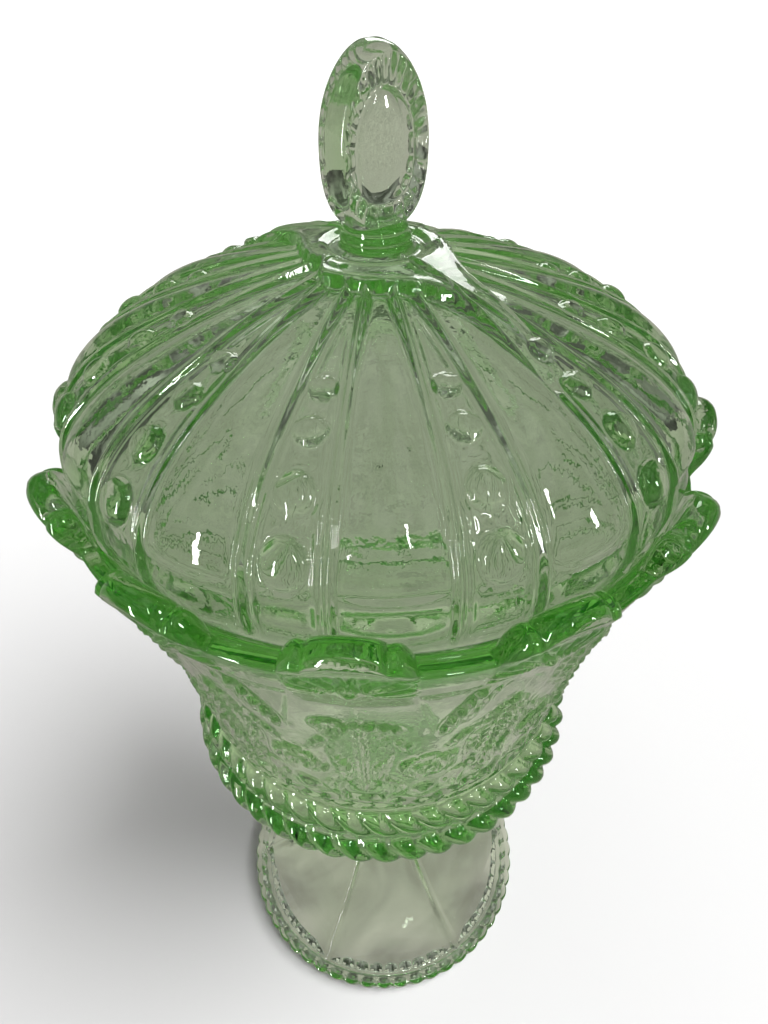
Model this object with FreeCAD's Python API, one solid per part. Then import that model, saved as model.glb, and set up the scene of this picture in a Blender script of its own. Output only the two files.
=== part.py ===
import FreeCAD
import Part
import math
import os

from FreeCAD import Vector

# A footed candy dish in pressed green glass, with a loose domed lid.
# Millimetres. +Z is up, the origin is at the centre of the foot on the table, and -Y is the front.

# Driving dimensions
RIM_R = 60.0            # radius of the bowl's mouth
RIM_Z = 196.0           # height of the rim's flat top
FOLD = 12               # medallions, bead columns and panels round the dish
TOTAL_H = 268.0         # height of the finial's top

# Foot
FOOT_R = 49.4
SCALLOPS = 60
SCALLOP_DEPTH = 1.1
FOOT_EDGE_T = 4.0
FACETS = 6
FACET_CORNER_R = 45.5
FACET_PHASE = 34.0      # angle of one facet corner from the front, towards +X
CONE_SINK = 0.5         # the cone starts this far below the disc's top, so that the two fuse
CONE_TOP_R = 12.0
CONE_TOP_Z = 37.0
HOLLOW_R = 38.0
HOLLOW_TOP_R = 6.0
HOLLOW_TOP_Z = 30.0

# Stem: radius and height down its outside
STEM_PROFILE = [(11.0, 35.0), (8.6, 44.0), (9.4, 52.0), (14.6, 64.0), (10.6, 76.0), (9.2, 86.0), (15.0, 97.5)]

# Bowl
COLLAR_LOW = (48.8, 103.8)
COLLAR_TOP = (46.8, 124.0)
UNDERSIDE = [(14.0, 96.0), (30.0, 97.2), (41.0, 99.4)]
RIM_OUTER_R = 64.8
OUTER_WALL = [(48.0, 125.0), (49.4, 137.0), (51.6, 150.0), (54.2, 162.0), (57.4, 174.0), (61.0, 185.0)]
LEDGE_Z = 193.0
LEDGE_R = 56.4
INNER_WALL = [(54.6, 186.0), (51.0, 172.0), (47.6, 158.0), (45.0, 144.0), (43.2, 130.0), (41.6, 118.0)]
FLOOR_CURVE = [(38.0, 108.0), (30.0, 103.0)]

# Rope rings
ROPE_LUMPS = 48
ROPE_LUMP_R = 2.45
ROPE_LUMP_HALF = 2.3
ROPE_SLANT = 34.0
UPPER_ROPE = (48.2, 118.6)
LOWER_ROPE = (50.0, 109.2)

# Rim medallions
TAB_PHASE = -4.0
TAB_W = 23.0
TAB_T = 4.0
TAB_LOW_Z = 188.0
TAB_TOP_Z = 207.5
TAB_INNER_R = 62.4      # inner face at rim height
TAB_LEAN = 24.0
TAB_FOOT_SHARE = 0.55   # half-width of the tab's lower edge, as a share of TAB_W / 2
TAB_SIDE_SHARE = 0.92   # the same at the shoulders
TAB_BULGE_SHARE = 0.90  # the same at the top of a small scallop
TAB_NOTCH_SHARE = 0.46  # the same at the notches between scallops
TAB_SHOULDER_DROP = 6.4 # from the tab's top down to its shoulders
TAB_SCALLOP_RISE = 3.6  # from the shoulders up to the top of a small scallop
TAB_NOTCH_RISE = 4.0    # from the shoulders up to the notches

# Lid
LID_BASE_Z = 193.4
LID_OUTER = [(59.3, 193.4), (59.7, 197.0), (61.2, 202.5), (61.6, 207.5), (60.2, 212.4), (56.4, 216.6),
             (51.0, 220.6), (44.0, 224.2), (36.0, 227.6), (27.0, 231.0), (15.0, 234.4)]
LID_INNER = [(55.7, 193.4), (56.1, 198.0), (57.4, 203.5), (57.6, 207.5), (56.2, 211.0), (52.6, 214.4),
             (47.6, 217.8), (41.0, 221.0), (33.6, 224.0), (25.0, 227.2), (13.0, 230.2)]
LID_TOP_Z = 235.0
LID_UNDER_Z = 231.0
PANEL_PHASE = 2.4       # middle of one plain panel
BEAD_PHASE = 17.4       # middle of one bead column
BEADS = [(36.1, 227.9, 2.0), (43.4, 225.0, 2.3), (52.2, 220.4, 2.8), (59.4, 213.4, 3.4)]
BEAD_OUT = 0.5
BEAD_SINK = 0.35        # share of its radius by which a bead is let into the dome
RIB_HALF_ANGLE = 6.3
RIB_W = 1.3
RIB_OUT = 1.0
RIB_IN = 0.8
RIB_START = 2
CROWN = [(24.0, 231.2), (22.0, 234.0), (15.5, 236.4), (9.5, 238.2)]

# Finial
FINIAL_TURN = 37.0      # the slab's face looks this far from the front, towards +X
NECK = [(7.0, 237.0), (6.2, 239.0), (7.0, 240.6), (6.0, 242.2), (5.2, 244.0)]
SLAB_T = 9.0
SLAB_EDGE_R = 2.6
SLAB_HALF_OUTLINE = [(5.2, 241.0), (8.0, 245.5), (9.5, 252.2), (8.6, 259.0), (6.0, 264.8), (3.2, 267.3)]
CABOCHON_HALF = (6.2, 8.2)
CABOCHON_Z = 252.6
CABOCHON_OUT = 0.9


def spline_edge(profile):
    curve = Part.BSplineCurve()
    curve.interpolate([Vector(r, 0, z) for r, z in profile])
    return curve.toShape()


def revolved(edges):
    face = Part.Face(Part.Wire(Part.__sortEdges__(edges)))
    return face.revolve(Vector(0, 0, 0), Vector(0, 0, 1), 360)


def line_rz(a, b):
    return Part.makeLine(Vector(a[0], 0, a[1]), Vector(b[0], 0, b[1]))


def turned(profile):
    """Solid of revolution: a smooth curve through (radius, height) points, closed to the axis."""
    first = profile[0]
    last = profile[-1]
    low = (0, first[1])
    high = (0, last[1])
    return revolved([spline_edge(profile), line_rz(last, high), line_rz(high, low), line_rz(low, first)])


def at_angle(shape, degrees):
    """Turns a shape built on the +X side to an angle measured from the front (-Y) towards +X."""
    copy = shape.copy()
    copy.rotate(Vector(0, 0, 0), Vector(0, 0, 1), degrees - 90)
    return copy


def from_front(radius, degrees, z):
    a = math.radians(degrees)
    return Vector(radius * math.sin(a), -radius * math.cos(a), z)


def make_foot():
    arcs = []
    step = 360.0 / SCALLOPS
    for i in range(SCALLOPS):
        start = from_front(FOOT_R - SCALLOP_DEPTH, i * step, 0)
        middle = from_front(FOOT_R, (i + 0.5) * step, 0)
        end = from_front(FOOT_R - SCALLOP_DEPTH, (i + 1) * step, 0)
        arcs.append(Part.Arc(start, middle, end).toShape())
    disc = Part.Face(Part.Wire(arcs)).extrude(Vector(0, 0, FOOT_EDGE_T))
    rings = []
    for radius, z in ((FACET_CORNER_R, FOOT_EDGE_T - CONE_SINK), (CONE_TOP_R, CONE_TOP_Z)):
        corners = [from_front(radius, FACET_PHASE + 360.0 / FACETS * i, z) for i in range(FACETS)]
        rings.append(Part.makePolygon(corners + corners[:1]))
    cone = Part.makeLoft(rings, True, True)
    hollow = Part.makeCone(HOLLOW_R, HOLLOW_TOP_R, HOLLOW_TOP_Z)
    return disc.fuse(cone).cut(hollow).removeSplitter()


def make_bowl():
    edges = [line_rz((0, UNDERSIDE[0][1]), UNDERSIDE[0]),
             spline_edge(UNDERSIDE + [COLLAR_LOW]),
             line_rz(COLLAR_LOW, COLLAR_TOP),
             line_rz(COLLAR_TOP, OUTER_WALL[0]),
             spline_edge(OUTER_WALL + [(RIM_OUTER_R, RIM_Z)]),
             line_rz((RIM_OUTER_R, RIM_Z), (RIM_R, RIM_Z)),
             line_rz((RIM_R, RIM_Z), (RIM_R, LEDGE_Z)),
             line_rz((RIM_R, LEDGE_Z), (LEDGE_R, LEDGE_Z)),
             spline_edge([(LEDGE_R, LEDGE_Z)] + INNER_WALL),
             spline_edge([INNER_WALL[-1]] + FLOOR_CURVE),
             line_rz(FLOOR_CURVE[-1], (0, FLOOR_CURVE[-1][1])),
             line_rz((0, FLOOR_CURVE[-1][1]), (0, UNDERSIDE[0][1]))]
    return revolved(edges)


def capsule(radius, half):
    """Rounded bar along Z, as one solid of revolution."""
    bottom = Vector(0, 0, -half - radius)
    top = Vector(0, 0, half + radius)
    low = Vector(radius, 0, -half)
    high = Vector(radius, 0, half)
    slant = math.sqrt(0.5) * radius
    edges = [Part.Arc(bottom, Vector(slant, 0, -half - slant), low).toShape(),
             Part.makeLine(low, high),
             Part.Arc(high, Vector(slant, 0, half + slant), top).toShape(),
             Part.makeLine(top, bottom)]
    return revolved(edges)


def make_rope(ring):
    radius, z = ring
    lump = capsule(ROPE_LUMP_R, ROPE_LUMP_HALF)
    lump.rotate(Vector(0, 0, 0), Vector(1, 0, 0), ROPE_SLANT)
    lump.translate(Vector(radius, 0, z))
    return Part.makeCompound([at_angle(lump, 360.0 / ROPE_LUMPS * i) for i in range(ROPE_LUMPS)])


def make_medallions():
    """Upright tabs with three scallops along the top, leaning outward from the rim."""
    half = TAB_W / 2
    foot = half * TAB_FOOT_SHARE
    side = half * TAB_SIDE_SHARE
    bulge = half * TAB_BULGE_SHARE
    notch = half * TAB_NOTCH_SHARE
    low = TAB_LOW_Z - RIM_Z
    peak = TAB_TOP_Z - RIM_Z
    shoulder = peak - TAB_SHOULDER_DROP
    scallop = shoulder + TAB_SCALLOP_RISE
    dip = shoulder + TAB_NOTCH_RISE
    right = [Vector(0, foot, low), Vector(0, side, shoulder), Vector(0, bulge, scallop), Vector(0, notch, dip)]
    left = [Vector(0, -v.y, v.z) for v in right]
    top = Vector(0, 0, peak)
    outline = [Part.makeLine(left[0], right[0]),
               Part.makeLine(right[0], right[1]),
               Part.Arc(right[1], right[2], right[3]).toShape(),
               Part.Arc(right[3], top, left[3]).toShape(),
               Part.Arc(left[3], left[2], left[1]).toShape(),
               Part.makeLine(left[1], left[0])]
    tab = Part.Face(Part.Wire(outline)).extrude(Vector(TAB_T, 0, 0))
    tab.rotate(Vector(0, 0, 0), Vector(0, 1, 0), TAB_LEAN)
    tab.translate(Vector(TAB_INNER_R, 0, RIM_Z))
    return Part.makeCompound([at_angle(tab, TAB_PHASE + 360.0 / FOLD * i) for i in range(FOLD)])


def make_lid_dome():
    edges = [spline_edge(LID_OUTER),
             line_rz(LID_OUTER[-1], (0, LID_TOP_Z)),
             line_rz((0, LID_TOP_Z), (0, LID_UNDER_Z)),
             line_rz((0, LID_UNDER_Z), LID_INNER[-1]),
             spline_edge(LID_INNER),
             line_rz(LID_INNER[0], LID_OUTER[0])]
    return revolved(edges)


def offset_profile(points, distance):
    """Moves each point of a profile along its outward normal."""
    moved = []
    for i, (r, z) in enumerate(points):
        before = points[max(i - 1, 0)]
        after = points[min(i + 1, len(points) - 1)]
        dr = after[0] - before[0]
        dz = after[1] - before[1]
        length = math.hypot(dr, dz)
        moved.append((r + distance * dz / length, z - distance * dr / length))
    return moved


def make_lid_ribs():
    """A pair of thin radial ribs stands on the dome beside each bead column."""
    spine = LID_OUTER[RIB_START:]
    outside = offset_profile(spine, RIB_OUT)
    inside = offset_profile(spine, -RIB_IN)
    edges = [spline_edge(outside), spline_edge(inside),
             line_rz(outside[0], inside[0]), line_rz(outside[-1], inside[-1])]
    face = Part.Face(Part.Wire(Part.__sortEdges__(edges)))
    face.translate(Vector(0, -RIB_W / 2, 0))
    rib = face.extrude(Vector(0, RIB_W, 0))
    ribs = []
    for i in range(FOLD):
        for side in (-RIB_HALF_ANGLE, RIB_HALF_ANGLE):
            ribs.append(at_angle(rib, BEAD_PHASE + 360.0 / FOLD * i + side))
    return Part.makeCompound(ribs)


def make_lid_beads():
    beads = []
    for radius, z, size in BEADS:
        bead = Part.makeSphere(size)
        sink = size * BEAD_SINK
        bead.translate(Vector(radius - sink + BEAD_OUT, 0, z - sink))
        beads.extend(at_angle(bead, BEAD_PHASE + 360.0 / FOLD * i) for i in range(FOLD))
    return Part.makeCompound(beads)


def make_finial_slab():
    right = [(x, z) for x, z in SLAB_HALF_OUTLINE]
    left = [(-x, z) for x, z in reversed(right)]
    edges = [spline_edge(right + [(0.0, TOTAL_H)] + left), line_rz(left[-1], right[0])]
    face = Part.Face(Part.Wire(Part.__sortEdges__(edges)))
    face.translate(Vector(0, -SLAB_T / 2, 0))
    slab = face.extrude(Vector(0, SLAB_T, 0))
    rims = [e for e in slab.Edges if e.BoundBox.YLength < 0.01]
    slab = slab.makeFillet(SLAB_EDGE_R, rims)
    slab.rotate(Vector(0, 0, 0), Vector(0, 0, 1), FINIAL_TURN)
    return slab


def make_cabochons():
    """A low oval boss on each face of the finial."""
    boss = Part.makeSphere(1.0)
    matrix = FreeCAD.Matrix()
    matrix.scale(CABOCHON_HALF[0], CABOCHON_OUT * 2, CABOCHON_HALF[1])
    boss = boss.transformGeometry(matrix)
    pair = []
    for side in (-1, 1):
        one = boss.copy()
        one.translate(Vector(0, side * (SLAB_T / 2 - CABOCHON_OUT * 0.5), CABOCHON_Z))
        one.rotate(Vector(0, 0, 0), Vector(0, 0, 1), FINIAL_TURN)
        pair.append(one)
    return Part.makeCompound(pair)


NODES = {
    "foot": make_foot,
    "stem": lambda: turned(STEM_PROFILE),
    "bowl": make_bowl,
    "lower_rope_ring": lambda: make_rope(LOWER_ROPE),
    "upper_rope_ring": lambda: make_rope(UPPER_ROPE),
    "rim_medallions": make_medallions,
    "lid_dome": make_lid_dome,
    "lid_ribs": make_lid_ribs,
    "lid_beads": make_lid_beads,
    "lid_crown": lambda: turned(CROWN),
    "finial_neck": lambda: turned(NECK),
    "finial": make_finial_slab,
    "finial_cabochons": make_cabochons,
}

os.makedirs("parts", exist_ok=True)
for name, make in NODES.items():
    shape = make()
    shape.exportStep("parts/" + name + ".step")
    box = shape.BoundBox
    print(name, len(shape.Solids), "solids", shape.isValid(), round(shape.Volume), "mm3",
          [round(v, 1) for v in (box.XMin, box.YMin, box.ZMin, box.XMax, box.YMax, box.ZMax)])
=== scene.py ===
import math

import bpy
import numpy as np
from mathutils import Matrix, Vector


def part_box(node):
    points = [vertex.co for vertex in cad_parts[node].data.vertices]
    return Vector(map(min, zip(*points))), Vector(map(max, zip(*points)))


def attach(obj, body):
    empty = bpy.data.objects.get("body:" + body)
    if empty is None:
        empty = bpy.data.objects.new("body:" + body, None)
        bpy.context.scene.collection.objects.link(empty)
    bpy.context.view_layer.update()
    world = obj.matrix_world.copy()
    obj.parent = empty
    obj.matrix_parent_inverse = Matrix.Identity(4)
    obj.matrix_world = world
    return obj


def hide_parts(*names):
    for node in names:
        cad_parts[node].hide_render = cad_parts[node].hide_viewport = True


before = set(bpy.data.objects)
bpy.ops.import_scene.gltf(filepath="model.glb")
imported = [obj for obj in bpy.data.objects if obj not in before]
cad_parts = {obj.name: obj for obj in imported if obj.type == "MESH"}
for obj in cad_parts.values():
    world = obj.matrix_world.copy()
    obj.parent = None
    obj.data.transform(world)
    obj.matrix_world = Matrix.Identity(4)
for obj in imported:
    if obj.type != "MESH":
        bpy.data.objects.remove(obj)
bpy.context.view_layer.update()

mm = 0.001                # metres
fold = 12                 # medallions, panels and bead columns round the dish
sector = 360.0 / fold

# Angles are measured in degrees from the front (-Y) towards +X. Lengths are millimetres until a mesh is
# made.
bowlLow, bowlHigh = (np.array(corner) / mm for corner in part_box("bowl"))
rimZ = bowlHigh[2]
rimOuterR = bowlHigh[0]


def splineThrough(points, count=None, stations=None):
    # Natural cubic spline through 2-D points over chord length, read at even or given places from 0 to 1
    knots = np.asarray(points, float)
    t = np.concatenate([[0.0], np.cumsum(np.hypot(*np.diff(knots, axis=0).T))])
    t = t / t[-1]
    h = np.diff(t)
    n = len(t)
    system = np.eye(n)
    right = np.zeros((n, 2))
    inner = np.arange(1, n - 1)
    system[inner, inner - 1] = h[:-1]
    system[inner, inner] = 2 * (h[:-1] + h[1:])
    system[inner, inner + 1] = h[1:]
    right[1:-1] = 6 * (np.diff(knots[1:], axis=0) / h[1:, None] - np.diff(knots[:-1], axis=0) / h[:-1, None])
    bend = np.linalg.solve(system, right)
    u = np.linspace(0, 1, count) if stations is None else np.asarray(stations, float)
    k = np.clip(np.searchsorted(t, u, side="right") - 1, 0, n - 2)
    a = ((t[k + 1] - u) / h[k])[:, None]
    b = 1 - a
    span = h[k][:, None]
    return (a * knots[k] + b * knots[k + 1]
            + ((a ** 3 - a) * bend[k] + (b ** 3 - b) * bend[k + 1]) * span ** 2 / 6)


def outwardOf(profile):
    # Unit normals of an (r, z) profile that climbs the outside: the tangent turned a quarter turn to the
    # right
    along = np.gradient(profile, axis=0)
    along = along / np.linalg.norm(along, axis=1, keepdims=True)
    return np.stack([along[:, 1], -along[:, 0]], 1)


def swept(r, z, angles):
    # Point grid of a surface round Z: x = r sin a, y = -r cos a, with r, z and a spread over one common
    # grid
    r, z, a = np.broadcast_arrays(r, z, np.radians(angles))
    return np.stack([r * np.sin(a), -r * np.cos(a), z], -1)


def folded(angles, phase, period=sector):
    # Signed angle to the nearest repeat of a feature: the angle past it, wrapped to half a period each way
    return (angles - phase + period / 2) % period - period / 2


def bump(distance, width):
    # Bell curve, 1 at no distance: exp of minus (distance / width) squared
    return np.exp(-(distance / width) ** 2)


def rise(value, low, high):
    # Smooth step from 0 at low to 1 at high: 3 t squared - 2 t cubed
    t = np.clip((value - low) / (high - low), 0, 1)
    return t * t * (3 - 2 * t)


def stripFaces(a, b):
    # Faces between ring a (nearer the start) and ring b; one may have a whole number of times the other's
    # corners
    na, nb = len(a), len(b)
    if na == nb:
        return np.stack([a, np.roll(a, -1), np.roll(b, -1), b], 1).tolist()
    if na > nb:
        k = na // nb
        fine = [np.roll(a, -step)[::k] for step in range(k + 1)]
        return np.stack(fine + [np.roll(b, -1), b], 1).tolist()
    k = nb // na
    fine = [np.roll(b, -step)[::k] for step in range(k, -1, -1)]
    return np.stack([a, np.roll(a, -1)] + fine, 1).tolist()


def closedSurface(name, sections, startPole, endPole, sharpDegrees=None):
    # A closed surface: rings in order from one pole to the other, each section a (rows, columns, 3) grid in
    # mm
    points = [np.array([startPole], float)]
    rings = []
    base = 1
    for grid in sections:
        rows, columns = grid.shape[:2]
        points.append(grid.reshape(-1, 3))
        rings.extend(base + np.arange(rows * columns).reshape(rows, columns))
        base += rows * columns
    points.append(np.array([endPole], float))
    faces = np.stack([np.zeros_like(rings[0]), np.roll(rings[0], -1), rings[0]], 1).tolist()
    for low, high in zip(rings[:-1], rings[1:]):
        faces += stripFaces(low, high)
    faces += np.stack([rings[-1], np.roll(rings[-1], -1), np.full_like(rings[-1], base)], 1).tolist()
    mesh = bpy.data.meshes.new(name)
    mesh.from_pydata((np.concatenate(points) * mm).tolist(), [], faces)
    mesh.validate()
    mesh.polygons.foreach_set("use_smooth", np.ones(len(mesh.polygons), bool))
    if sharpDegrees:
        mesh.set_sharp_from_angle(angle=math.radians(sharpDegrees))
    piece = bpy.data.objects.new(name, mesh)
    bpy.context.scene.collection.objects.link(piece)
    triangles = sum(len(p.vertices) - 2 for p in mesh.polygons)
    print(name, "made,", triangles, "triangles")
    return piece


class Wire:
    # A node socket that takes part in sums: each operator adds a Math node
    def __init__(self, tree, socket):
        self.tree = tree
        self.socket = socket

    def math(self, operation, a, b):
        return self.tree.add("ShaderNodeMath", {"operation": operation}, {0: a, 1: b})

    def __add__(self, other):
        return self.math("ADD", self, other)

    def __radd__(self, other):
        return self.math("ADD", other, self)

    def __sub__(self, other):
        return self.math("SUBTRACT", self, other)

    def __rsub__(self, other):
        return self.math("SUBTRACT", other, self)

    def __mul__(self, other):
        return self.math("MULTIPLY", self, other)

    def __rmul__(self, other):
        return self.math("MULTIPLY", other, self)

    def __pow__(self, other):
        return self.math("POWER", self, other)


class NodeTree:
    # A new material or world with its own empty set of nodes
    def __init__(self, name, makeFrom=bpy.data.materials):
        self.material = makeFrom.new(name)
        self.material.use_nodes = True
        self.nodes = self.material.node_tree.nodes
        self.links = self.material.node_tree.links
        self.nodes.clear()

    def add(self, kind, settings=None, inputs=None, output=0):
        # Any node: settings first, then the values or links of its sockets
        node = self.nodes.new(kind)
        for key, value in (settings or {}).items():
            if key == "stops":
                for number, (place, colour) in enumerate(value):
                    if number > 1:
                        node.color_ramp.elements.new(place)
                    node.color_ramp.elements[number].position = place
                    node.color_ramp.elements[number].color = colour
            else:
                setattr(node, key, value)
        for key, value in (inputs or {}).items():
            if isinstance(value, Wire):
                self.links.new(value.socket, node.inputs[key])
            else:
                node.inputs[key].default_value = value
        return Wire(self, node.outputs[output]) if len(node.outputs) else None


greenGlass = {
    "tint": (0.93, 0.985, 0.92, 1.0),
    "ior": 1.5,
    "absorb": (0.38, 0.865, 0.14, 1.0),
    "density": 22.0,          # per metre
    "polish": 0.0,            # roughness where the glass is smoothest
    "polishVaries": 0.045,
    "tintPatch": (0.88, 0.97, 0.86, 1.0),
    "tintVaries": 0.4,
    "ripplePerMetre": 95.0,
    "rippleDepth": 0.00015,   # metres
    "mouldPerMetre": 600.0,
    "mouldDepth": 0.00003,
}


def pressedGlass(name, look):
    # Clear dielectric with the colour inside it by absorption over depth, two sizes of ripple from the
    # mould, and roughness that grows with the square of both ripples' product
    tree = NodeTree(name)
    place = tree.add("ShaderNodeTexCoord", output=3)
    ripple = tree.add("ShaderNodeTexNoise", {"noise_dimensions": "3D"},
                      {"Vector": place, "Scale": look["ripplePerMetre"], "Detail": 1.5})
    mould = tree.add("ShaderNodeTexNoise", {"noise_dimensions": "3D"},
                     {"Vector": place, "Scale": look["mouldPerMetre"], "Detail": 2.0})
    relief = tree.add("ShaderNodeBump", None,
                      {"Height": ripple, "Distance": look["rippleDepth"], "Strength": 1.0})
    relief = tree.add("ShaderNodeBump", None,
                      {"Height": mould, "Distance": look["mouldDepth"], "Normal": relief})
    cloud = ripple * mould
    polish = look["polish"] + look["polishVaries"] * cloud ** 2.0
    tint = tree.add("ShaderNodeMix", {"data_type": "RGBA"},
                    {0: mould * look["tintVaries"], 6: look["tint"], 7: look["tintPatch"]}, output=2)
    surface = tree.add("ShaderNodeBsdfPrincipled", None,
                       {"Base Color": tint, "Roughness": polish, "IOR": look["ior"],
                        "Transmission Weight": 1.0, "Normal": relief})
    inside = tree.add("ShaderNodeVolumeAbsorption", None, {"Color": look["absorb"], "Density": look["density"]})
    tree.add("ShaderNodeOutputMaterial", None, {"Surface": surface, "Volume": inside})
    return tree.material


glass = pressedGlass("green_pressed_glass", greenGlass)
print("materials made")


foot = {
    "columns": 720,
    "rows": {"hollow": 18, "bevel": 9, "edge": 7, "cone": 22, "stem": 34},
    "lumps": 54,                    # teeth round the edge
    "lumpDepth": 0.7,
    "toothDepth": 0.6,              # of the same teeth, inside the hollow
    "toothBand": (1.6, 1.4),        # height and width of the toothed band inside the hollow
    "facets": 6,
    "facetPhase": 34.0,
    "cornerSoft": 0.5,              # degrees
    "ridge": 0.75,                  # raised line along each corner between facets
    "hollowFacets": 0.7,            # how much of the facets' shape the hollow takes
    "hollow": [(4.0, 30.4), (9.0, 28.4), (20.0, 18.6), (32.0, 7.4), (38.8, 3.9), (42.2, 3.2), (43.7, 1.2)],
    "bevel": [(44.0, 0.0), (44.6, 0.0), (45.6, 0.7), (46.7, 1.6), (47.8, 2.55)],
    "bevelTeeth": (44.6, 47.8),     # radii between which the teeth grow along the bevel
    "edge": (48.4, 3.7, 0.95),      # middle radius, height and half thickness of the rounded edge
    "edgeTurn": (-50, 80),          # degrees
    "edgeTop": [(47.4, 4.7), (46.3, 4.8)],
    "topTeeth": 0.55,
    "cone": [(45.2, 5.0), (38.0, 11.4), (30.0, 19.0), (22.0, 28.0), (15.0, 36.6)],
    "stem": [(15.0, 36.6), (10.4, 43.0), (9.0, 50.0), (11.0, 57.0), (14.6, 64.0), (11.4, 71.5),
             (9.2, 79.0), (9.8, 87.0), (15.6, 95.0), (17.0, 97.0)],
    "stemTopZ": 97.4,
    "facetsFade": (1.0, 0.94, 0.0),  # how faceted the plan is at the cone's foot, its top and the stem's top
}


def makeFoot(look):
    # Rings run from the hollow's top out and down to the base, up its bevel, over the toothed edge, up six
    # facets and the stem. A facet's plan radius is its corner radius x cos 30 / cos(angle to the facet's
    # middle). The teeth are a rectified cosine round the axis, which fades out along the bevel and inside
    # the hollow.
    rows = look["rows"]
    angles = look["facetPhase"] + np.arange(look["columns"]) * 360.0 / look["columns"]
    lump = np.abs(np.cos(np.radians(angles) * look["lumps"] / 2)) ** 0.8 - 1
    halfFacet = 180.0 / look["facets"]
    middle = np.abs(folded(angles, look["facetPhase"] + halfFacet, 2 * halfFacet))
    middle = halfFacet - np.hypot(halfFacet - middle, look["cornerSoft"])
    plan = math.cos(math.pi / look["facets"]) / np.cos(np.radians(middle))
    hollow = splineThrough(look["hollow"], rows["hollow"])
    r = hollow[:, :1] * (1 + (plan - 0.95) * look["hollowFacets"] * rise(37.0 - hollow[:, :1], 0, 8))
    bandZ, bandWide = look["toothBand"]
    r = r + look["toothDepth"] * lump * bump(hollow[:, 1:] - bandZ, bandWide)
    sections = [swept(r, hollow[:, 1:], angles)]
    base = np.maximum(splineThrough(look["bevel"], rows["bevel"]), 0)
    corner = np.radians(np.linspace(*look["edgeTurn"], rows["edge"]))
    edgeR, edgeZ, half = look["edge"]
    edge = np.stack([edgeR + half * np.cos(corner), edgeZ + half * np.sin(corner)], 1)
    top = np.array(look["edgeTop"])
    for profile, share in ((base, rise(base[:, :1], *look["bevelTeeth"])), (edge, 1), (top, look["topTeeth"])):
        r = profile[:, :1] + look["lumpDepth"] * share * lump
        z = profile[:, 1:] - 0.3 * share * lump * rise(profile[:, 1:], 3.8, 5.0)
        sections.append(swept(r, z, angles))
    ridge = look["ridge"] * bump(middle - 29.4, 1.3)
    cone = splineThrough(look["cone"], rows["cone"])
    stem = splineThrough(look["stem"], rows["stem"])[1:]
    start, waist, end = look["facetsFade"]
    for profile, first, last in ((cone, start, waist), (stem, waist, end)):
        share = np.linspace(first, last, len(profile))[:, None]
        r = profile[:, :1] * (1 + (plan - 1) * share) + ridge * share
        sections.append(swept(r, profile[:, 1:], angles))
    peak = (0, 0, look["hollow"][0][1] + 0.4)
    return closedSurface("foot_and_stem", sections, peak, (0, 0, look["stemTopZ"]), 24)


bowl = {
    "fine": 960,                    # columns round the medallions, the wall and ropes, and the inside
    "plain": 480,
    "inside": 240,
    "rows": {"under": 8, "rope": 15, "wall": 50, "plainWall": 40, "tab": 33, "crest": 9, "tabBack": 6,
             "inner": 32},
    "phase": -4.0,                  # middle of one medallion
    "underside": [(9.0, 96.1), (22.0, 96.2), (34.0, 96.7), (43.6, 97.2), (46.9, 99.0), (47.4, 104.4)],
    "lowerRope": (48.9, 109.2),     # middle of the rope's section
    "upperRope": (47.1, 118.6),
    "ropeWide": 3.9,
    "ropeTall": 4.3,
    "lumps": 48,
    "slantPerMm": 0.8,              # degrees of turn per millimetre of height
    "lumpDepth": 2.1,
    "wall": [(47.4, 124.6), (48.4, 131.0), (49.6, 138.0), (51.6, 150.0), (54.2, 162.0), (57.3, 173.5),
             (60.2, 183.0)],
    "lean": 22.0,                   # degrees outward from upright, of the medallions
    "tabHalfWidth": 9.5,            # degrees
    "tabArch": 7.2,
    "tabScallop": (2.4, 5.3),       # height and half width of the middle scallop
    "tabFlare": (0.04, 9.0),        # how much wider a medallion is this far over the rim
    "fluteDepth": 1.1,
    "crestTurn": (8, 168),          # degrees
    "mouthR": 61.6,
    "band": [(60.8, 195.98), (60.3, 195.85)],
    "inner": [(60.0, 195.4), (60.0, 193.6), (59.3, 193.05), (57.0, 192.9), (55.6, 190.5), (54.4, 186.0),
              (51.0, 172.0), (47.6, 158.0), (45.0, 144.0), (43.2, 130.0), (41.4, 118.0), (37.6, 108.6),
              (29.0, 103.9), (12.0, 103.0)],
    "wellZ": 103.0,
    "flower": (-5.2, 171.5),        # sideways from the medallion's middle, and height
    "leaf": (5.0, 171.0),
    "palmetteZ": 156.0,
    "roseZ": 149.0,
    "budZ": 135.0,
    "archZ": 127.3,                 # foot of the arches over the upper rope
    "archTall": 4.6,
}


def ropeRing(look, centre, rows, start, end, angles):
    # Half a torus whose section swells and pinches along slanting bands, which makes the lumps of a twisted
    # rope
    turn = np.radians(np.linspace(start, end, rows))[:, None]
    z = centre[1] + look["ropeTall"] * np.sin(turn)
    lump = np.abs(np.cos(np.radians((angles + look["slantPerMm"] * (z - centre[1])) * look["lumps"] / 2)))
    depth = look["lumpDepth"] * (lump ** 0.6 - 1)
    r = centre[0] + (look["ropeWide"] + depth) * np.cos(turn)
    z = centre[1] + (look["ropeTall"] + 0.5 * depth) * np.sin(turn)
    return swept(r, z, angles)


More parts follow.
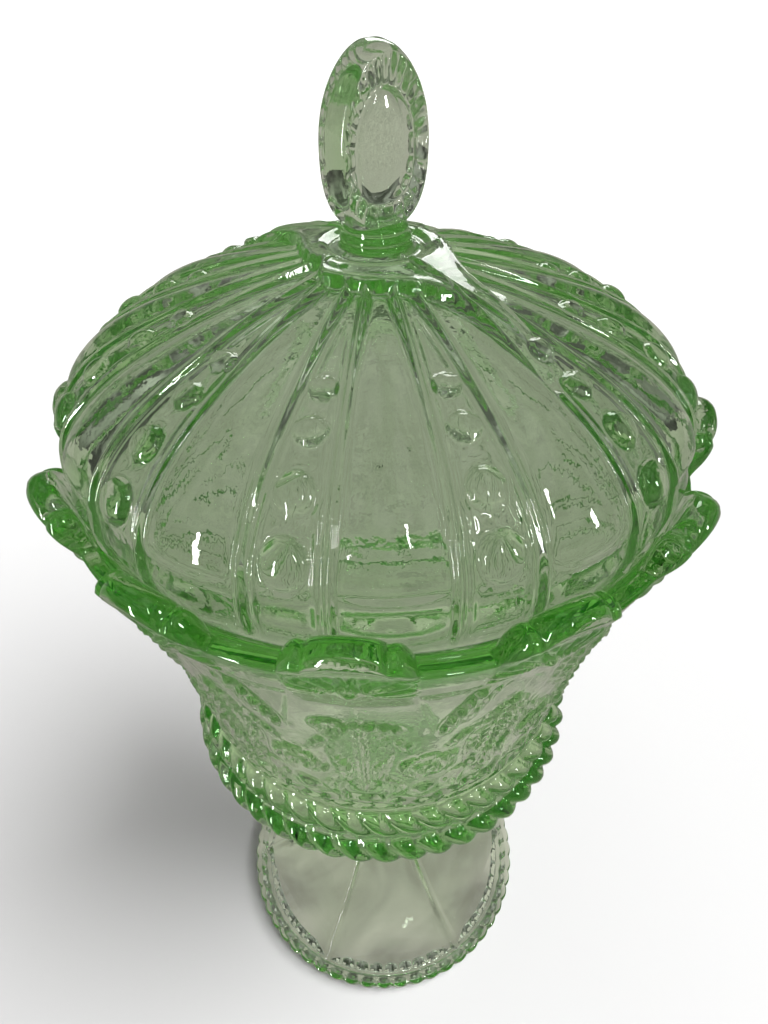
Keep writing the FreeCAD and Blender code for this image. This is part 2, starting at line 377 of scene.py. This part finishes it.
def wallRelief(look, angles, r, z):
    # Height of the embossing on the bowl, in mm: a sum of bell curves and soft-edged patches, placed
    # sideways from the medallion's middle (x) or from the plain panel's (side), and by height
    a = folded(angles, look["phase"])
    x = np.radians(a) * r                             # sideways from the medallion's middle
    side = np.radians(15 - np.abs(a)) * r             # sideways from the middle of the plain panel
    panelHalf = np.clip((z - 166.0) / 29.0, 0, 1) * 7.4
    edge = side - panelHalf
    above = rise(z, 163.0, 168.0)
    leaf = 0.72 + 0.28 * np.cos(2 * math.pi * (z + 0.8 * edge) / 4.2)
    pair = folded(angles, look["phase"], 2 * sector)
    swag = rise(np.abs(pair), 12.0, 17.0)
    height = -0.35 * rise(-edge, -0.4, 0.6) * above
    height += 1.15 * bump(edge - 1.5, 1.1) * above * leaf * swag
    height += 0.75 * bump(edge - 4.4, 0.9) * rise(z, 166.0, 174.0) * (1.4 - leaf) * swag
    # a small flower left of every second medallion and a leaf right of it
    toFlower = np.hypot(x - look["flower"][0], z - look["flower"][1])
    height += (1 - swag) * (0.9 * bump(toFlower - 2.6, 0.8) + 0.9 * bump(toFlower, 0.9))
    leafX, leafZ = x - look["leaf"][0], z - look["leaf"][1]
    alongLeaf = 0.8 * leafX - 0.6 * leafZ
    acrossLeaf = 0.6 * leafX + 0.8 * leafZ
    inSpray = rise(1 - np.hypot(alongLeaf / 5.0, acrossLeaf / 2.2), 0.0, 0.35)
    height += (1 - swag) * inSpray * (0.7 + 0.35 * np.cos(2 * math.pi * (alongLeaf + np.abs(acrossLeaf)) / 2.4))
    # palmette under the medallion: midrib, outline and slanting veins
    half = 6.4 * np.clip(1 - ((z - look["palmetteZ"]) / 20.0) ** 2, 0, 1) ** 0.8
    inLeaf = rise(half - np.abs(x), -0.3, 0.9)
    height += inLeaf * (0.45 + 0.32 * np.cos(2 * math.pi * (z + 1.2 * np.abs(x)) / 3.4))
    height += 0.8 * bump(x, 0.7) * rise(z, 134.0, 140.0) * (1 - rise(z, 168.0, 176.0))
    # rose under the plain panel: spiral petals in a lobed outline
    dz = z - look["roseZ"]
    reach = np.hypot(side, dz)
    turn = np.arctan2(dz, side * np.sign(a))
    outline = 6.6 + 0.5 * np.cos(5 * turn)
    inRose = rise(outline - reach, 0.0, 1.2)
    height += inRose * (0.9 + 0.45 * np.cos(2 * math.pi * reach / 2.5 + turn) - 0.05 * reach)
    # bud and bracts below the rose
    height += 1.1 * bump(side, 2.4) * bump(z - look["budZ"], 2.8)
    height += 0.7 * bump(side - 4.6 - 0.5 * np.abs(z - 137.0), 0.8) * bump(z - 137.5, 5.0)
    # curling stems between rose and palmette
    stem = 8.9 - 1.6 * np.sin((z - 131.0) / 3.6)
    height += 0.75 * bump(side - stem, 0.75) * rise(z, 130.0, 133.0) * (1 - rise(z, 150.0, 158.0))
    # small leaves outside the palmette, above the rose
    spray = np.abs(side - 3.2 - 0.55 * (z - look["palmetteZ"]))
    height += 0.8 * bump(spray, 1.0) * bump(z - 161.0, 4.5) * leaf * 1.2
    # arches over the upper rope
    arch = look["archZ"] + look["archTall"] * np.cos(np.radians(a) * fold / 2) ** 2
    height += 0.95 * bump(z - arch, 0.85)
    height += 0.8 * bump(z - 126.0, 1.0) * rise(arch - z, 0, 3)
    return height


def tabTop(look, a):
    # Height of the medallion over the rim: a blunt arch whose wider middle scallop stands above two small
    # ones
    off = np.abs(a)
    arch = look["tabArch"] * np.sqrt(np.clip(1 - (off / look["tabHalfWidth"]) ** 3.4, 0, 1))
    tall, half = look["tabScallop"]
    middle = tall * np.clip(1 - (off / half) ** 2, 0, 1) ** 0.8
    return arch + middle + 0.5 * bump(off - 6.7, 1.0) - 0.5 * bump(off - half, 0.5)


def flared(look, angles, z):
    # Angles for a ring through the medallions: each one's own angles are stretched from its middle, over
    # the rim
    a = folded(angles, look["phase"])
    wider, over = look["tabFlare"]
    return look["phase"] + (angles - look["phase"] - a) + a * (1 + wider * rise(z, rimZ, rimZ + over))


def tabRelief(look, a, r, z, v):
    # Height of the flutes that fan out round the medallion's eye, from the turn about the eye and the reach
    # to it
    x = np.radians(a) * r
    over = z - rimZ + 6.0
    fan = np.degrees(np.arctan2(over, np.abs(x)))
    reach = np.hypot(x, over * 1.2)
    area = rise(reach, 2.0, 3.6) * (1 - rise(reach, 10.0, 11.2))
    area = area * rise(fan, -16, -6) * rise(11.4 - np.abs(x), 0, 1)
    flutes = look["fluteDepth"] * (np.abs(np.cos(np.radians(fan - 4.0) * 8)) ** 0.8 - 0.62) * area
    eye = 1.1 * bump(x, 1.6) * bump(over, 1.5) + 0.7 * bump(over - 3.6, 0.8) * rise(3.6 - np.abs(x), 0, 1)
    return (flutes + eye) * rise(z, 183.0, 186.0) * (1 - rise(v, 0.84, 0.95))


def makeBowl(look):
    # Rings climb the outside from the underside, over both ropes, the embossed wall and the medallions,
    # whose outer face leans out at a fixed angle and climbs further where a tab stands, then go down the
    # inside.
    rows = look["rows"]
    fineAngles, plainAngles, insideAngles = (look["phase"] + np.arange(look[name]) * 360.0 / look[name]
                                             for name in ("fine", "plain", "inside"))
    under = splineThrough(look["underside"], rows["under"])
    sections = [swept(under[:, :1], under[:, 1:], insideAngles),
                ropeRing(look, look["lowerRope"], rows["rope"], -84, 70, plainAngles),
                ropeRing(look, look["upperRope"], rows["rope"], -70, 78, plainAngles)]
    # embossed wall
    wall = splineThrough(look["wall"], rows["wall"])
    out = outwardOf(wall)
    plain = rows["plainWall"]
    for part, angles in ((slice(0, plain), plainAngles), (slice(plain, rows["wall"]), fineAngles)):
        r = wall[part, :1]
        z = wall[part, 1:]
        height = wallRelief(look, angles, r, z)
        sections.append(swept(r + out[part, :1] * height, z + out[part, 1:] * height, angles))
    # medallions' outer face
    a = folded(fineAngles, look["phase"])
    top = tabTop(look, a)
    onTab = rise(top, 0.5, 6.5)
    crestR = rimOuterR - 0.4 + top * math.tan(math.radians(look["lean"])) + 0.3 * onTab
    crestZ = rimZ - 0.6 + top - 1.0 * onTab
    v = np.linspace(0, 1, rows["tab"])[1:, None]
    startR, startZ = look["wall"][-1]
    r = startR + (crestR - startR) * v
    z = startZ + (crestZ - startZ) * v
    rim = 0.5 * onTab * bump(v - 0.97, 0.07)
    garland = wallRelief(look, fineAngles, r, np.minimum(z, 187.0)) * (1 - rise(z, 183.5, 188.0))
    height = tabRelief(look, a, r, z, v) + rim + garland
    sections.append(swept(r + height, z, flared(look, fineAngles, z)))
    # rounded top edge
    turn = np.radians(np.linspace(*look["crestTurn"], rows["crest"]))[:, None]
    halfWide = 1.45 + 1.25 * onTab
    crown = 0.55 + 1.55 * onTab
    r = crestR - halfWide + halfWide * np.cos(turn) + 0.25 * onTab
    z = crestZ + crown * np.sin(turn) ** 0.85
    sections.append(swept(r, z, flared(look, fineAngles, z)))
    # inner face down to the flat band, then to the mouth's edge and the well
    startR, startZ = r[-1], z[-1]
    v = np.linspace(0, 1, rows["tabBack"])[1:, None]
    r = startR + (look["mouthR"] - startR) * v ** 0.9
    z = startZ + (rimZ - startZ) * v
    sections.append(swept(r, z, flared(look, fineAngles, z)))
    band = np.array(look["band"])
    sections.append(swept(band[:, :1], band[:, 1:], plainAngles))
    inner = splineThrough(look["inner"], rows["inner"])
    sections.append(swept(inner[:, :1], inner[:, 1:], insideAngles))
    return closedSurface("bowl_pressing", sections, (0, 0, bowlLow[2]), (0, 0, look["wellZ"]))


lid = {
    "panelPhase": 2.4,
    "ribAt": 8.7,                  # degrees from a plain panel's middle
    "ribWide": 0.7,
    "ribTall": 1.5,
    "ribClose": 1.3,               # degrees each side of a rib where the columns stand closer
    "bulge": 1.9,                  # of the plain panels
    "beadBulge": 0.8,
    "beadTall": 0.46,
    "rows": {"inner": 40, "outer": 102, "collar": 22},
    "outer": [(58.3, 193.5), (58.8, 193.7), (59.1, 195.0), (59.8, 198.5), (60.7, 202.5), (60.7, 206.6),
              (59.3, 211.8), (56.2, 216.0), (51.0, 220.2), (44.2, 223.8), (36.2, 227.0), (27.0, 230.3),
              (18.0, 232.8), (11.0, 234.3)],
    "collar": [(11.0, 234.3), (9.6, 234.7), (8.3, 235.5), (7.2, 236.8), (6.3, 238.0), (6.5, 238.7),
               (5.8, 239.4), (5.9, 240.1), (5.3, 240.8), (4.5, 241.2)],
    "inner": [(10.0, 227.4), (20.0, 226.4), (28.6, 224.5), (35.0, 222.4), (41.0, 220.2), (47.2, 216.5),
              (51.8, 212.6), (54.9, 209.0), (56.0, 205.6), (55.9, 202.0), (55.4, 198.0), (55.4, 195.0),
              (56.0, 193.8), (57.2, 193.45)],
    "innerTopZ": 227.6,
    # each row of beads: distance from the axis, height, radius
    "beads": [(36.1, 227.9, 2.3), (43.4, 225.0, 2.7), (52.2, 220.4, 3.1), (59.4, 213.4, 3.6)],
    "tongueAt": 41.0,              # degrees
    "tongueEnd": 43.0,             # mm from the axis
    "crownTall": 2.7,
}


def lidAngles(look):
    # Denser where the ribs and beads are: places within one sector, measured from a plain panel's middle
    ribAt, close = look["ribAt"], look["ribClose"]
    panel = np.linspace(-ribAt + close, ribAt - close, 13)
    rib = np.linspace(-close, close, 10)[1:-1]
    beads = np.linspace(ribAt + close, sector - ribAt - close, 31)
    places = np.concatenate([panel, ribAt + rib, beads, sector - ribAt + rib])
    starts = np.arange(fold)[:, None] * sector
    return (starts + places).ravel() + look["panelPhase"]


def lidRelief(look, angles, r, z):
    # Height over the plain dome, of the bulging panels and a rib each side of every bead column, and the
    # distance sideways from the bead column. A bulge is 1 - (angle / half width) squared, a rib a bell
    # curve.
    a = folded(angles, look["panelPhase"])
    panel = np.clip(1 - (a / look["ribAt"]) ** 2, 0, 1)
    sides = 0.75 * rise(z, 194.5, 199.0) * (1 - rise(z, 204.0, 207.2))
    rounded = rise(r, 14, 44) * (rise(z, 206.2, 210.5) + sides)
    height = look["bulge"] * panel * rounded
    column = folded(angles, look["panelPhase"] + sector / 2)
    height += look["beadBulge"] * np.clip(1 - (column / (sector / 2 - look["ribAt"])) ** 2, 0, 1) * rounded
    ribGap = np.radians(np.abs(a) - look["ribAt"]) * r
    ribShow = rise(z, 195.5, 199.5)
    height += look["ribTall"] * bump(ribGap, look["ribWide"]) * ribShow
    height += 0.35 * bump(ribGap - 2.0, 0.45) * ribShow * rise(r, 20, 30)
    return height, np.radians(column) * r


def crownFold(look, angles, r):
    # The raised crown. Going round half a turn, its plan radius falls as 1 / angle from one tongue to a
    # pinched corner, then swings out as 1 / angle into the other tongue. Its wall follows the distance
    # square to that edge.
    turn = (angles - look["tongueAt"]) % 180.0
    behind = 10.8 + 110.0 / np.maximum(turn - 4.0, 0.5)
    front = 13.9 + 50.0 / (181.0 - turn) - 2.6 * bump(turn - 85.0, 9.0)
    edge = np.minimum(np.where(turn < 85.0, behind, front), look["tongueEnd"])
    slope = np.gradient(edge, np.radians(angles)) / edge
    away = (edge - r) / np.hypot(1, slope)
    inside = rise(away, -0.3, 0.8)
    tall = look["crownTall"] * rise(47.0 - r, 0, 22)
    ridge = np.radians(folded(angles, look["tongueAt"] - 4.0, 180.0) - 0.36 * (r - 8.0)) * r
    folds = 0.7 * bump(ridge, 0.55) * rise(34.0 - r, 0, 6)
    lip = 0.3 * bump(away - 0.9, 0.5)
    return inside, inside * (tall + folds + lip)


def makeLid(look):
    # The inner rings come first, from the dome's inner top down to the seat, then rings climb the outside
    # to the neck. The outer rings stand closer at the beads, the crown and the seat, and a bead is part of
    # a ball.
    rows = look["rows"]
    angles = lidAngles(look)
    inner = splineThrough(look["inner"], rows["inner"])
    sections = [swept(inner[:, :1], inner[:, 1:], angles[::3])]
    fine = splineThrough(look["outer"], 400)
    step = np.concatenate([[0], np.cumsum(np.hypot(*np.diff(fine, axis=0).T))])
    crowd = np.full(len(fine), 0.55)
    for beadR, beadZ, size in look["beads"]:
        crowd += 1.1 * (np.hypot(fine[:, 0] - beadR, fine[:, 1] - beadZ) < size + 0.6)
    crowd += 1.3 * (fine[:, 0] < 30)
    crowd += 1.0 * (fine[:, 1] < 194.6)
    count = np.concatenate([[0], np.cumsum(crowd[:-1] * np.diff(step))])
    along = np.interp(np.linspace(0, count[-1], rows["outer"]), count, step)
    stations = np.clip(np.interp(along, step, np.linspace(0, 1, len(fine))), 0, 1)
    outer = splineThrough(look["outer"], stations=stations)
    out = outwardOf(outer)
    r = outer[:, :1]
    z = outer[:, 1:]
    height, across = lidRelief(look, angles, r, z)
    onCrown, crownHeight = crownFold(look, angles, r)
    height = height * (1 - onCrown)
    for beadR, beadZ, size in look["beads"]:
        nearest = np.argmin(np.hypot(fine[:, 0] - beadR, fine[:, 1] - beadZ))
        away = np.hypot(across, along[:, None] - step[nearest])
        ball = np.sqrt(np.clip(size ** 2 - away ** 2, 0, None))
        height += look["beadTall"] * ball - 0.22 * bump(away - size - 0.3, 0.35)
    height += crownHeight
    sections.append(swept(r + out[:, :1] * height, z + out[:, 1:] * height, angles))
    collar = splineThrough(look["collar"], rows["collar"])[1:]
    extra = height[-1] * rise(collar[:, :1], 6.6, 11.0)
    sections.append(swept(collar[:, :1], collar[:, 1:] + extra, angles))
    return closedSurface("lid_pressing", sections, (0, 0, look["innerTopZ"]), (0, 0, look["collar"][-1][1]))


finial = {
    "columns": 208,
    "turn": 37.0,
    "petals": 24,
    "centreZ": 252.4,
    "halfWidth": 9.5,
    "up": 15.4,
    "down": 13.2,
    "halfThick": 4.5,
    "jewel": 0.60,                 # size of the smooth oval, as a share of the face
    "jewelTall": 1.2,
    "faceThick": 0.78,             # of halfThick, inside the rim
}


def makeFinial(look):
    # Two faces back to back: rings run from the middle of one face out to the edge and in again on the
    # other. The outline is an oval, blunter at the bottom; thickness falls as a high power of the reach
    # towards the edge.
    angles = np.arange(look["columns"]) * 360.0 / look["columns"]
    a = np.radians(angles)
    rounding = np.cos(np.linspace(0, 90, 9)[1:] * math.pi / 180)
    reach = np.concatenate([np.linspace(0.05, 0.9, 26), 1 - 0.1 * rounding])
    high = np.where(np.sin(a) > 0, look["up"], look["down"])
    sin, cos = np.sin(a), np.cos(a)
    width = look["halfWidth"] * np.sign(cos) * np.abs(cos) ** np.where(sin > 0, 0.94, 0.8)
    width = width * (1 - 0.16 * np.clip(sin, 0, 1) ** 3)
    tall = high * np.sign(sin) * np.abs(sin) ** np.where(sin > 0, 0.95, 0.78)
    rings = []
    for sign in (1, -1):
        rho = reach if sign > 0 else reach[::-1][1:]
        rho = rho[:, None]
        x = width * rho
        z = tall * rho
        jewel = np.clip(1 - (rho / look["jewel"]) ** 2, 0, 1)
        edge = np.clip(1 - rho ** 12, 0, 1) ** 0.5
        flute = np.abs(np.cos(look["petals"] * a / 2 - 3.0 * cos)) ** 0.7 - 0.6
        ring = rise(rho, look["jewel"] + 0.02, look["jewel"] + 0.10) * (1 - rise(rho, 0.82, 0.90))
        y = (look["halfThick"] * edge * (look["faceThick"] + 0.20 * rise(rho, 0.74, 0.94) + 0.22 * flute * ring)
             + look["jewelTall"] * jewel ** 0.75 - 0.6 * bump(rho - look["jewel"] - 0.03, 0.035))
        rings.append(np.stack([x, -sign * y, look["centreZ"] + z], -1))
    spin = math.radians(look["turn"])
    turned = []
    for grid in rings:
        x = grid[..., 0] * math.cos(spin) - grid[..., 1] * math.sin(spin)
        y = grid[..., 0] * math.sin(spin) + grid[..., 1] * math.cos(spin)
        turned.append(np.stack([x, y, grid[..., 2]], -1)[:, ::-1])
    tip = look["halfThick"] * look["faceThick"] + look["jewelTall"]
    front = (math.sin(spin) * tip, -math.cos(spin) * tip, look["centreZ"])
    back = (-front[0], -front[1], front[2])
    return closedSurface("finial_jewel", turned, front, back)


pieces = {
    "dish": [(makeFoot(foot), ("foot", "stem")),
             (makeBowl(bowl), ("bowl", "lower_rope_ring", "upper_rope_ring", "rim_medallions"))],
    "lid": [(makeLid(lid), ("lid_dome", "lid_ribs", "lid_beads", "lid_crown", "finial_neck")),
            (makeFinial(finial), ("finial", "finial_cabochons"))],
}
for body, made in pieces.items():
    for piece, nodes in made:
        piece.data.materials.append(glass)
        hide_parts(*nodes)
        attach(piece, body)
print("glass placed")


stage = {
    "floorRadius": 14.0,
    "floorDrop": 0.0002,           # metres under the foot
    "floorSeen": (0.50, 0.50, 0.502, 1.0),         # the floor as the camera sees it
    # painted shade and light: a glow the camera sees on the floor, none next to the dish, so the floor there
    # reads as shaded, and rising with distance
    "seenPaintedShadeAndLight": [(0.06, (0.0, 0.0, 0.0, 1.0)), (0.14, (0.06, 0.06, 0.06, 1.0)),
                 (0.42, (0.16, 0.16, 0.16, 1.0)), (0.90, (0.46, 0.46, 0.46, 1.0))],
    "floorAround": (0.10, 0.093, 0.087, 1.0),      # as every other ray meets it, so what the glass shows
    # both painted glows go by distance from the axis, in metres
    # painted light: the glow the glass sees in the floor, palest under the foot, where the glass would shade it
    "aroundPaintedLight": [(0.08, (0.34, 0.32, 0.285, 1.0)), (0.14, (0.155, 0.144, 0.131, 1.0)),
                   (0.34, (0.155, 0.144, 0.131, 1.0)), (0.70, (0.24, 0.225, 0.205, 1.0))],
    # painted caustics: lighter and darker patches painted into the glow that the glass sees
    "paintedCausticsPerMetre": 34.0,        # soft lighter and darker patches, as light through glass makes
    "paintedCaustics": 1.7,
    "sky": [(0.0, (0.10, 0.095, 0.09, 1.0)), (0.48, (0.07, 0.067, 0.063, 1.0)),
            (0.62, (0.16, 0.155, 0.15, 1.0)), (1.0, (0.40, 0.39, 0.38, 1.0))],
    "backdrop": (0.93, 0.93, 0.93, 1.0),           # what the camera sees behind the dish
    "cloudScale": 2.6,
    "cloudEdge": (0.40, 0.62),
    "skyStrength": (0.35, 1.9),    # between clouds and in them
}


def makeFloor(look):
    # Plain and pale to the camera, with painted shade near the dish and painted light farther out: a
    # glow that rises with distance from the dish. To every other ray, so to the glass, it is a dimmer warm
    # sheet with a painted glow, palest under the foot where the glass would shade it, times soft noise that
    # paints lighter and darker patches of caustic light.
    side = look["floorRadius"]
    mesh = bpy.data.meshes.new("floor")
    corners = [(-side, -side, 0), (side, -side, 0), (side, side, 0), (-side, side, 0)]
    mesh.from_pydata(corners, [], [(0, 1, 2, 3)])
    floor = bpy.data.objects.new("floor", mesh)
    bpy.context.scene.collection.objects.link(floor)
    floor.location.z = -look["floorDrop"]
    tree = NodeTree("pale_floor")
    direct = tree.add("ShaderNodeLightPath", output=0)
    colour = tree.add("ShaderNodeMix", {"data_type": "RGBA"},
                      {0: direct, 6: look["floorAround"], 7: look["floorSeen"]}, output=2)
    place = tree.add("ShaderNodeTexCoord", output=3)
    reach = tree.add("ShaderNodeVectorMath", {"operation": "LENGTH"}, {0: place}, output=1)
    # painted light that the glass sees in the floor, palest under the foot
    glassSeenPaintedLight = tree.add("ShaderNodeValToRGB", {"stops": look["aroundPaintedLight"]}, {0: reach})
    # painted caustics: noise that lightens and darkens the painted glow in patches
    paintedCaustics = tree.add("ShaderNodeTexNoise", {"noise_dimensions": "3D"},
                      {"Vector": place, "Scale": look["paintedCausticsPerMetre"], "Detail": 2.0, "Distortion": 1.2})
    glassSeenPaintedLight = tree.add("ShaderNodeMix", {"data_type": "RGBA", "blend_type": "MULTIPLY"},
                     {0: 1.0, 6: glassSeenPaintedLight, 7: 1.0 + (paintedCaustics - 0.5) * look["paintedCaustics"]}, output=2)
    # painted shade near the dish and painted light farther out, for camera rays only
    cameraSeenPaintedLight = tree.add("ShaderNodeValToRGB", {"stops": look["seenPaintedShadeAndLight"]}, {0: reach})
    glow = tree.add("ShaderNodeMix", {"data_type": "RGBA"}, {0: direct, 6: glassSeenPaintedLight, 7: cameraSeenPaintedLight}, output=2)
    surface = tree.add("ShaderNodeBsdfPrincipled", None,
                       {"Base Color": colour, "Roughness": 0.9, "Specular IOR Level": 0.1,
                        "Emission Color": glow, "Emission Strength": 1.0})
    tree.add("ShaderNodeOutputMaterial", None, {"Surface": surface})
    floor.data.materials.append(tree.material)


def makeSky(look):
    # One plain colour to the camera. To every other ray it is brighter overhead than at the sides, by the
    # height of the direction looked in, times a smooth step of noise that makes lighter and darker parts.
    tree = NodeTree("studio", bpy.data.worlds)
    direction = tree.add("ShaderNodeTexCoord", output=0)
    height = tree.add("ShaderNodeSeparateXYZ", None, {0: direction}, output=2)
    colour = tree.add("ShaderNodeValToRGB", {"stops": look["sky"]}, {0: height * 0.5 + 0.5})
    cloud = tree.add("ShaderNodeTexNoise", {"noise_dimensions": "3D"},
                     {"Vector": direction, "Scale": look["cloudScale"], "Detail": 2.0})
    dim, bright = look["skyStrength"]
    low, high = look["cloudEdge"]
    strength = tree.add("ShaderNodeMapRange", {"interpolation_type": "SMOOTHSTEP"},
                        {0: cloud, 1: low, 2: high, 3: dim, 4: bright})
    light = tree.add("ShaderNodeBackground", None, {"Color": colour, "Strength": strength})
    plain = tree.add("ShaderNodeBackground", None, {"Color": look["backdrop"], "Strength": 1.0})
    direct = tree.add("ShaderNodeLightPath", output=0)
    both = tree.add("ShaderNodeMixShader", None, {0: direct, 1: light, 2: plain})
    tree.add("ShaderNodeOutputWorld", None, {"Surface": both})
    bpy.context.scene.world = tree.material


lamps = {                      # places in metres; the softbox is a sun, given by the way to it
    "softbox": {"from": (0.575, -0.13, 0.81), "spread": 50.0, "strength": 6.1},
    "window": {"at": (-0.62, -0.64, 0.46), "size": (0.05, 0.30), "watts": 2.8},
    "low": {"at": (-0.66, -0.71, 0.22), "size": (0.10, 0.36), "watts": 5.5},
    "strip": {"at": (0.30, -0.60, 0.85), "size": (0.04, 0.30), "watts": 1.5},
    "side": {"at": (0.85, -0.35, 0.45), "size": (0.07, 0.24), "watts": 2.6},
    "back": {"at": (0.10, 0.85, 0.75), "size": (0.50, 0.30), "watts": 2.8},
}


def makeLamps(look):
    # The softbox lights only the floor's colour. The others show only as highlights, the strip through the
    # glass too. Each is aimed at the dish's middle, and the softbox at the point under it.
    for name, lamp in look.items():
        kind = "AREA" if "at" in lamp else "SUN"
        data = bpy.data.lights.new(name, kind)
        if kind == "SUN":
            data.energy = lamp["strength"]
            data.angle = math.radians(lamp["spread"])
        else:
            data.shape = "RECTANGLE"
            data.size, data.size_y = lamp["size"]
            data.energy = lamp["watts"]
        light = bpy.data.objects.new(name, data)
        bpy.context.scene.collection.objects.link(light)
        light.visible_transmission = name == "strip"
        light.visible_glossy = kind == "AREA"
        light.visible_diffuse = kind == "SUN"
        light.location = lamp.get("at", lamp.get("from"))
        aim = -light.location
        aim.z += 0.15 * (kind == "AREA")           # metres up the dish
        light.rotation_euler = aim.to_track_quat("-Z", "Y").to_euler()


camera = {
    "back": 127.6,         # mm in front of the axis
    "side": 1.13,
    "overRim": 85.7,
    "pitch": 40.23,        # degrees below level
    "roll": -0.4,
    "lens": 24.79,         # mm, on a sensor 36 mm wide
    "sensor": 36.0,
    "clip": 0.005,         # metres
}


def makeCamera(look):
    # In front of the dish and above its rim, looking down by the pitch and rolled a little
    data = bpy.data.cameras.new("camera")
    data.lens = look["lens"]
    data.sensor_width = look["sensor"]
    data.clip_start = look["clip"]
    eye = bpy.data.objects.new("camera", data)
    bpy.context.scene.collection.objects.link(eye)
    eye.location = (look["side"] * mm, -look["back"] * mm, (rimZ + look["overRim"]) * mm)
    eye.rotation_mode = "ZYX"
    eye.rotation_euler = (math.radians(90 - look["pitch"]), 0, math.radians(look["roll"]))
    bpy.context.scene.camera = eye


makeFloor(stage)
makeSky(stage)
makeLamps(lamps)
makeCamera(camera)
scene = bpy.context.scene
scene.view_settings.view_transform = "Standard"
scene.cycles.max_bounces = 24
scene.cycles.transmission_bounces = 24
scene.cycles.glossy_bounces = 12
print("stage, lamps and camera made")
